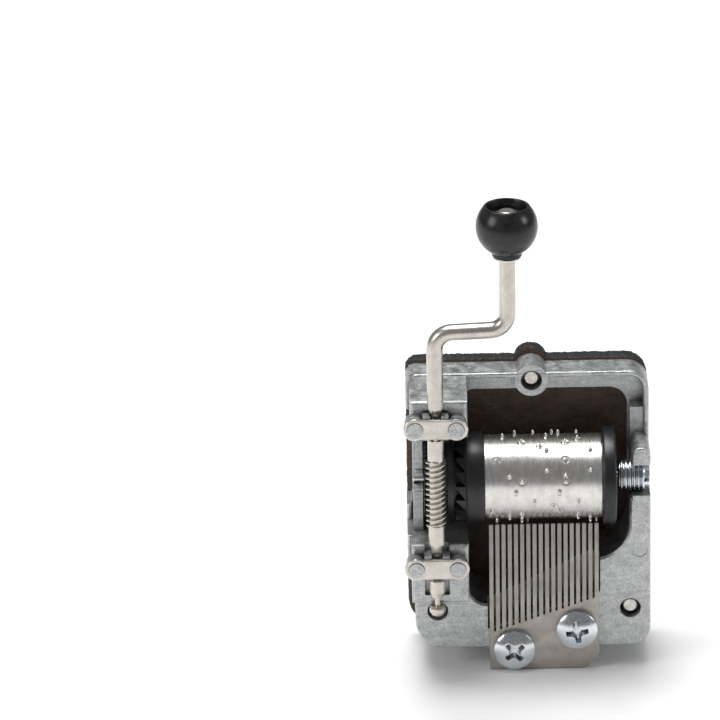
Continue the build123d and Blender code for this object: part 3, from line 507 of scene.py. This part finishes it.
def pin_places():
    """Angle and tooth of each pin: a rising and falling tune, a lower voice, and a few off-beat notes."""
    places = []
    for beat, tooth in enumerate(melody):
        angle = beat * beat_turn
        places.append((angle, tooth))
        places.append((angle, (tooth + 7) % tooth_count))
        if beat % 3 == 1:
            places.append((angle + beat_turn / 2, (tooth + 3) % tooth_count))
        if beat % 4 == 2:
            places.append((angle + beat_turn / 2, (tooth + 12) % tooth_count))
    return places


def build_sleeve():
    """The tube as a fine grid with rolled ends, dished around each pin, and the domed pins."""
    around = 400
    along = 180
    pins = [(math.radians(angle), first_tooth + tooth * tooth_pitch) for angle, tooth in pin_places()]
    angles = np.linspace(0, 2 * math.pi, around, endpoint=False)
    xs = np.linspace(sleeve_low.x, sleeve_high.x, along)
    grid_x, grid_a = np.meshgrid(xs, angles, indexing="ij")
    radius = np.full_like(grid_x, sleeve_radius)
    for angle, x in pins:
        turn = (grid_a - angle + math.pi) % (2 * math.pi) - math.pi
        away = np.hypot(turn * sleeve_radius, grid_x - x) / MM
        radius -= dish_depth * np.exp(-((away - dish_radius) ** 2) / 0.012)
    from_end = np.minimum(grid_x - sleeve_low.x, sleeve_high.x - grid_x) / MM
    radius -= end_roll * np.exp(-from_end / 0.08)
    outer_y = axis_y + radius * np.cos(grid_a)
    outer_z = axis_z + radius * np.sin(grid_a)
    verts = np.stack([grid_x, outer_y, outer_z], axis=-1).reshape(-1, 3).tolist()
    faces = []
    for i in range(along - 1):
        for j in range(around):
            k = (j + 1) % around
            faces.append((i * around + j, i * around + k, (i + 1) * around + k, (i + 1) * around + j))
    for x, ring in ((sleeve_low.x, 0), (sleeve_high.x, along - 1)):
        start = len(verts)
        for a in angles:
            verts.append((x, axis_y + sleeve_bore * math.cos(a), axis_z + sleeve_bore * math.sin(a)))
        for j in range(around):
            k = (j + 1) % around
            rim = (ring * around + j, start + j, start + k, ring * around + k)
            faces.append(rim if ring == 0 else rim[::-1])
    first_bore = along * around
    for j in range(around):
        k = (j + 1) % around
        faces.append((first_bore + j, first_bore + around + j, first_bore + around + k, first_bore + k))
    # Pins: a short stalk that flares at its foot and is domed at its tip, as (share of the pin's radius,
    # share of its height)
    profile = [(1.35, -0.10), (1.1, 0.02), (1.0, 0.15), (0.97, 0.40), (0.82, 0.60), (0.5, 0.69)]
    tip_height = 0.72
    top = pin_top - sleeve_radius
    stalks = 14
    for angle, x in pins:
        out = Vector((0, math.cos(angle), math.sin(angle)))
        side = Vector((1, 0, 0))
        cross = out.cross(side)
        start = len(verts)
        for wide, high in profile:
            for s in range(stalks):
                spin = 2 * math.pi * s / stalks
                offset = (side * math.cos(spin) + cross * math.sin(spin)) * wide * pin_radius
                centre = Vector((x, axis_y, axis_z)) + out * (sleeve_radius + high / tip_height * top)
                verts.append(tuple(centre + offset))
        verts.append(tuple(Vector((x, axis_y, axis_z)) + out * pin_top))
        for level in range(len(profile) - 1):
            for s in range(stalks):
                t = (s + 1) % stalks
                low, high = start + level * stalks, start + (level + 1) * stalks
                faces.append((low + s, low + t, high + t, high + s))
        last = start + (len(profile) - 1) * stalks
        for s in range(stalks):
            faces.append((last + s, last + (s + 1) % stalks, len(verts) - 1))
    mesh = bpy.data.meshes.new("pinned_sleeve")
    mesh.from_pydata(verts, [], faces)
    for face in mesh.polygons:
        face.use_smooth = True
    mesh.set_sharp_from_angle(angle=math.radians(50))
    return mesh


sleeve_metal, tree, shader = start_material("polished_plate", (0.74, 0.72, 0.69), 0.24, 1.0)
brushing = grain(tree, 0.16, stretch=(1, 12, 12), detail=3.0)
haze = grain(tree, 1.2, stretch=(1, 2, 2))
tree.links.new(
    two_tone(tree, haze, (0.66, 0.635, 0.60), (0.80, 0.785, 0.76)),
    shader.inputs["Base Color"],
)
tree.links.new(between(tree, brushing, 0.25, 0.33), shader.inputs["Roughness"])
roughen(tree, shader, [(brushing, 0.0025), (haze, 0.004)])
place("pinned_sleeve", build_sleeve(), "drum", "plated_sleeve", ["drum_sleeve"], sleeve_metal)

# ---------------------------------------------------------------- Drum caps and worm wheel
# Moulded black acetal.  The left cap carries a crown of saw-teeth, the right one a wide flange, and
# the wheel has 34 helical teeth that run against the worm.
acetal, tree, shader = start_material("black_acetal", (0.012, 0.012, 0.013), 0.36)
texture = grain(tree, 0.12, detail=3.0)
flow = grain(tree, 2.5)
tree.links.new(
    two_tone(tree, flow, (0.007, 0.007, 0.008), (0.016, 0.016, 0.018)),
    shader.inputs["Base Color"],
)
tree.links.new(between(tree, texture, 0.28, 0.42), shader.inputs["Roughness"])
roughen(tree, shader, [(texture, 0.006), (flow, 0.02)])
place("ratchet_cap", softened("left_end_cap", 0.08), "drum", "black_plastic", ["left_end_cap"], acetal)
place("flange_cap", softened("right_end_cap", 0.10), "drum", "black_plastic", ["right_end_cap"], acetal)
dress("worm_wheel", acetal)

# ---------------------------------------------------------------- Arbor and bearing screw
# A drawn steel axle, and the fully threaded, zinc-plated grub screw in the right wall that carries
# the axle's end.
bright_steel, tree, shader = start_material("drawn_steel", (0.70, 0.69, 0.67), 0.25, 1.0)
drawing = grain(tree, 0.04, stretch=(25, 1, 1))
tree.links.new(between(tree, drawing, 0.16, 0.36), shader.inputs["Roughness"])
tree.links.new(
    two_tone(tree, drawing, (0.6, 0.59, 0.57), (0.76, 0.75, 0.73)),
    shader.inputs["Base Color"],
)
roughen(tree, shader, [(drawing, 0.003)])
dress("drum_arbor", bright_steel)
thread_zinc, tree, shader = start_material("thread_zinc_plate", (0.74, 0.78, 0.81), 0.22, 1.0)
crests = grain(tree, 0.5, stretch=(1, 4, 4))
thread_tone = two_tone(tree, crests, (0.62, 0.67, 0.71), (0.84, 0.87, 0.89), 0.3, 0.7)
# The colour is darkened between the thread crests by painted shade from ambient occlusion.
tree.links.new(multiplied(tree, thread_tone, painted_corner_shade(tree, 0.5)), shader.inputs["Base Color"])
tree.links.new(between(tree, crests, 0.2, 0.3), shader.inputs["Roughness"])
roughen(tree, shader, [(crests, 0.006)])
dress("bearing_screw", thread_zinc)

# ---------------------------------------------------------------- Crank
# One steel rod with the worm rolled into it, bent twice, with warm satin nickel plate all over.  The
# plate's tone varies in soft patches.
nickel, tree, shader = start_material("satin_nickel_plate", (0.72, 0.67, 0.61), 0.3, 1.0)
drawn = grain(tree, 0.07, stretch=(1, 1, 18), detail=3.0)
patches = grain(tree, 1.4)
tree.links.new(
    two_tone(tree, patches, (0.56, 0.52, 0.47), (0.66, 0.617, 0.562)),
    shader.inputs["Base Color"],
)
tree.links.new(between(tree, drawn, 0.22, 0.42), shader.inputs["Roughness"])
roughen(tree, shader, [(drawn, 0.004), (patches, 0.006)])
dress("crank_shaft", nickel)

# ---------------------------------------------------------------- Brackets
# Stamped steel plates with a waist, nickel plated like the crank, riveted over the frame's posts.
stamped, tree, shader = start_material("stamped_nickel_plate", (0.74, 0.70, 0.645), 0.34, 1.0)
peel = grain(tree, 0.3)
dull = grain(tree, 2.0)
tree.links.new(
    two_tone(tree, dull, (0.58, 0.545, 0.495), (0.70, 0.66, 0.61)),
    shader.inputs["Base Color"],
)
tree.links.new(between(tree, peel, 0.27, 0.45), shader.inputs["Roughness"])
roughen(tree, shader, [(peel, 0.012), (dull, 0.03)])
for side in ("upper", "lower"):
    node = f"{side}_bracket"
    place(f"{side}_stamped_bracket", softened(node, 0.09, 3), "movement", "nickel_plate", [node], stamped)

# ---------------------------------------------------------------- Knob and its washer
# A moulded black ball with a cup in its top, free on the rod's spindle.  A faint parting line runs
# round it where the mould closed.
knob_low, knob_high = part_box("knob")
knob_x = (knob_low.x + knob_high.x) / 2
knob_y = (knob_low.y + knob_high.y) / 2
ball_radius = (knob_high.x - knob_low.x) / 2
ball_centre = knob_high.z - 3.5 * MM
rim_round = 0.16 * MM
seam_depth = 0.035 * MM
seam_width = 0.07 * MM
seam_angle = -0.16
cup_radius = 3.3 * MM
cup_floor = knob_high.z - 1.9 * MM
neck_radius = 2.45 * MM
bore_radius = 1.15 * MM


def knob_profile():
    """Radius and height from the bore's foot, up the outside, over the rim and down into the cup."""
    neck_angle = math.acos(neck_radius / ball_radius)
    rim_angle = math.asin((knob_high.z - rim_round - ball_centre) / ball_radius)
    points = [(bore_radius, knob_low.z), (neck_radius - 0.2 * MM, knob_low.z)]
    neck_top = ball_centre - ball_radius * math.sin(neck_angle)
    points += [(neck_radius, knob_low.z + 0.15 * MM), (neck_radius, neck_top)]
    steps = 46
    for i in range(1, steps + 1):
        angle = -neck_angle + (rim_angle + neck_angle) * i / steps
        seam = seam_depth * math.exp(-(((angle - seam_angle) * ball_radius / seam_width) ** 2))
        radius = ball_radius - seam
        points.append((radius * math.cos(angle), ball_centre + radius * math.sin(angle)))
    rim = ball_radius * math.cos(rim_angle)
    points += [(rim - 0.10 * MM, knob_high.z - 0.04 * MM), (rim - 0.2 * MM, knob_high.z)]
    points += [(cup_radius + 0.02 * MM, knob_high.z - 0.02 * MM)]
    points += [(cup_radius - 0.05 * MM, knob_high.z - 0.14 * MM)]
    points += [(cup_radius - 0.15 * MM, cup_floor + 0.2 * MM), (cup_radius - 0.35 * MM, cup_floor)]
    points += [(bore_radius, cup_floor)]
    return points


def turned(name, profile, x, y, around):
    """A closed ring of profile points turned about an upright axis at x and y."""
    verts = []
    faces = []
    for radius, height in profile:
        for i in range(around):
            angle = 2 * math.pi * i / around
            verts.append((x + radius * math.cos(angle), y + radius * math.sin(angle), height))
    rows = len(profile)
    for row in range(rows):
        below, above = row * around, (row + 1) % rows * around
        for i in range(around):
            j = (i + 1) % around
            faces.append((below + i, below + j, above + j, above + i))
    mesh = bpy.data.meshes.new(name)
    mesh.from_pydata(verts, [], faces)
    for face in mesh.polygons:
        face.use_smooth = True
    mesh.set_sharp_from_angle(angle=math.radians(40))
    return mesh


knob_black, tree, shader = start_material("knob_black", (0.008, 0.008, 0.009), 0.26)
orange_peel = grain(tree, 0.25, detail=3.0)
handling = grain(tree, 1.6)
tree.links.new(
    two_tone(tree, handling, (0.005, 0.005, 0.006), (0.012, 0.012, 0.013)),
    shader.inputs["Base Color"],
)
tree.links.new(between(tree, handling, 0.20, 0.34), shader.inputs["Roughness"])
roughen(tree, shader, [(orange_peel, 0.008), (handling, 0.02)])
ball = turned("ball_knob", knob_profile(), knob_x, knob_y, 128)
place("ball_knob", ball, "knob", "black_knob", ["knob"], knob_black)
washer = softened("knob_washer", 0.06)
place("thin_washer", washer, "crank", "bright_steel", ["knob_washer"], bright_steel)

# ---------------------------------------------------------------- Scene update
bpy.context.view_layer.update()
